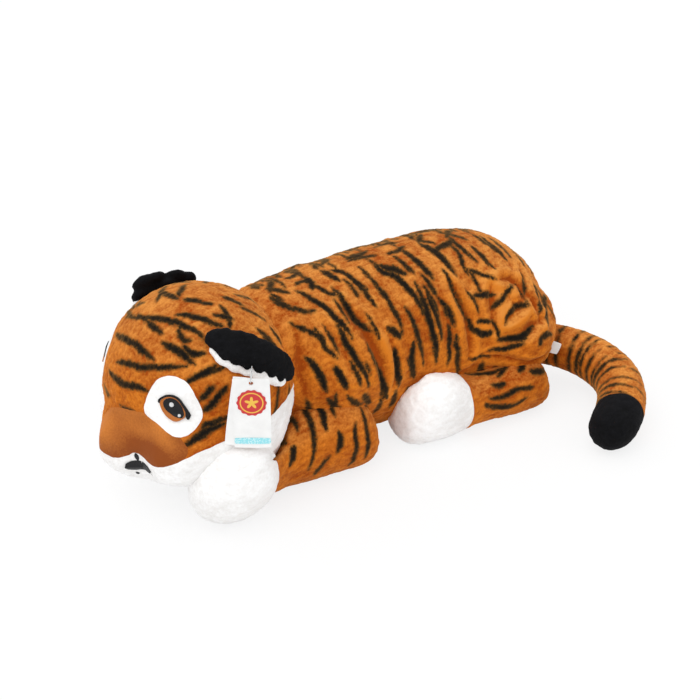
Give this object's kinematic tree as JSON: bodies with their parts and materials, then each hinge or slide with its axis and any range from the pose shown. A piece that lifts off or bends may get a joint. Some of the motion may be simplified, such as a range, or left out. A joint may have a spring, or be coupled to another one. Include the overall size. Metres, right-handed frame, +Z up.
{
  "type": "plush tiger",
  "caption": "Stuffed tiger lying on its belly with its head forward, ears folded over and tail curled to one side, with a card tag on one ear and a sewn-in ribbon label.",
  "frame": {"origin": "on the flat of the belly, under the middle of the torso, on the surface that the toy lies on", "axes": "+Z up; +X from the head to the rump, so the tiger looks along -X; its left side is at -Y"},
  "size_m": [0.7755, 0.4552, 0.285],
  "materials": {
    "striped_fur": "short orange pile with printed black stripes",
    "brown_fur": "short amber-brown velour",
    "white_fur": "soft white pile",
    "black_fur": "soft black pile",
    "filling": "white fibre filling",
    "black_thread": "black satin-stitch embroidery",
    "amber_thread": "amber satin-stitch embroidery",
    "white_thread": "white satin-stitch embroidery",
    "card": "white coated card",
    "red_print": "plain red print on card",
    "blue_print": "plain light-blue print on card",
    "clear_plastic": "clear plastic fastener loop",
    "satin_ribbon": "white satin ribbon"
  },
  "bodies": {
    "torso": {"torso_skin": "striped_fur", "torso_filling": "filling", "sewn_label": "satin_ribbon"},
    "head": {"head_crown": "striped_fur", "nose_bridge": "brown_fur", "jaw": "white_fur", "eye_patch_left": "white_fur", "eye_patch_right": "white_fur", "head_filling": "filling", "iris_left": "amber_thread", "iris_right": "amber_thread", "pupil_left": "black_thread", "pupil_right": "black_thread", "lash_left": "black_thread", "lash_right": "black_thread", "large_glint_left": "white_thread", "large_glint_right": "white_thread", "small_glint_left": "white_thread", "small_glint_right": "white_thread", "mouth": "black_thread", "philtrum": "black_thread", "whisker_dot_left": "black_thread", "whisker_dot_right": "black_thread"},
    "ear_left": {"ear_back_left": "black_fur", "ear_lining_left": "white_fur", "tag_loop": "clear_plastic"},
    "ear_right": {"ear_back_right": "black_fur", "ear_lining_right": "white_fur"},
    "tag": {"swing_tag_front": "card", "swing_tag_back": "card", "tag_seal": "red_print", "tag_band": "blue_print"},
    "foreleg_left": {"foreleg_left": "striped_fur", "forepaw_left": "white_fur", "foreleg_left_filling": "filling"},
    "foreleg_right": {"foreleg_right": "striped_fur", "forepaw_right": "white_fur", "foreleg_right_filling": "filling"},
    "hindleg_left": {"hindleg_left": "striped_fur", "hindpaw_left": "white_fur", "hindleg_left_filling": "filling"},
    "hindleg_right": {"hindleg_right": "striped_fur", "hindpaw_right": "white_fur", "hindleg_right_filling": "filling"},
    "tail": {"tail": "striped_fur", "tail_tip": "black_fur", "tail_filling": "filling"}
  },
  "joints": [
    {"name": "head_nod", "type": "hinge", "parent": "torso", "child": "head", "pos_m": [-0.1515, 0, 0.248], "axis": [0, 1, 0], "range_deg": [0, 12]},
    {"name": "foreleg_left_spread", "type": "hinge", "parent": "torso", "child": "foreleg_left", "pos_m": [-0.0275, -0.098, 0.05], "axis": [0, 0, 1], "range_deg": [0, 20], "stiffness_Nm_per_rad": 0.2},
    {"name": "foreleg_right_spread", "type": "hinge", "parent": "torso", "child": "foreleg_right", "pos_m": [-0.0275, 0.098, 0.05], "axis": [0, 0, -1], "range_deg": [0, 20], "stiffness_Nm_per_rad": 0.2},
    {"name": "hindleg_left_spread", "type": "hinge", "parent": "torso", "child": "hindleg_left", "pos_m": [0.2795, -0.098, 0.045], "axis": [0, 0, 1], "range_deg": [0, 15], "stiffness_Nm_per_rad": 0.2},
    {"name": "hindleg_right_spread", "type": "hinge", "parent": "torso", "child": "hindleg_right", "pos_m": [0.2795, 0.098, 0.045], "axis": [0, 0, -1], "range_deg": [0, 15], "stiffness_Nm_per_rad": 0.2},
    {"name": "tail_lift", "type": "hinge", "parent": "torso", "child": "tail", "pos_m": [0.3085, -0.069, 0.085], "axis": [-0.6428, -0.766, 0], "range_deg": [0, 25]},
    {"name": "ear_left_lift", "type": "hinge", "parent": "head", "child": "ear_left", "pos_m": [-0.21657, -0.09159, 0.24486], "axis": [-0.7872, 0.3218, 0.5261], "range_deg": [0, 35], "stiffness_Nm_per_rad": 0.02},
    {"name": "ear_right_lift", "type": "hinge", "parent": "head", "child": "ear_right", "pos_m": [-0.21779, 0.09131, 0.24544], "axis": [0.9479, 0.077, -0.3091], "range_deg": [0, 35], "stiffness_Nm_per_rad": 0.02},
    {"name": "tag_swing", "type": "hinge", "parent": "ear_left", "child": "tag", "pos_m": [-0.25629, -0.15267, 0.22807], "axis": [-0.809, 0.5878, 0], "range_deg": [0, 30]}
  ]
}
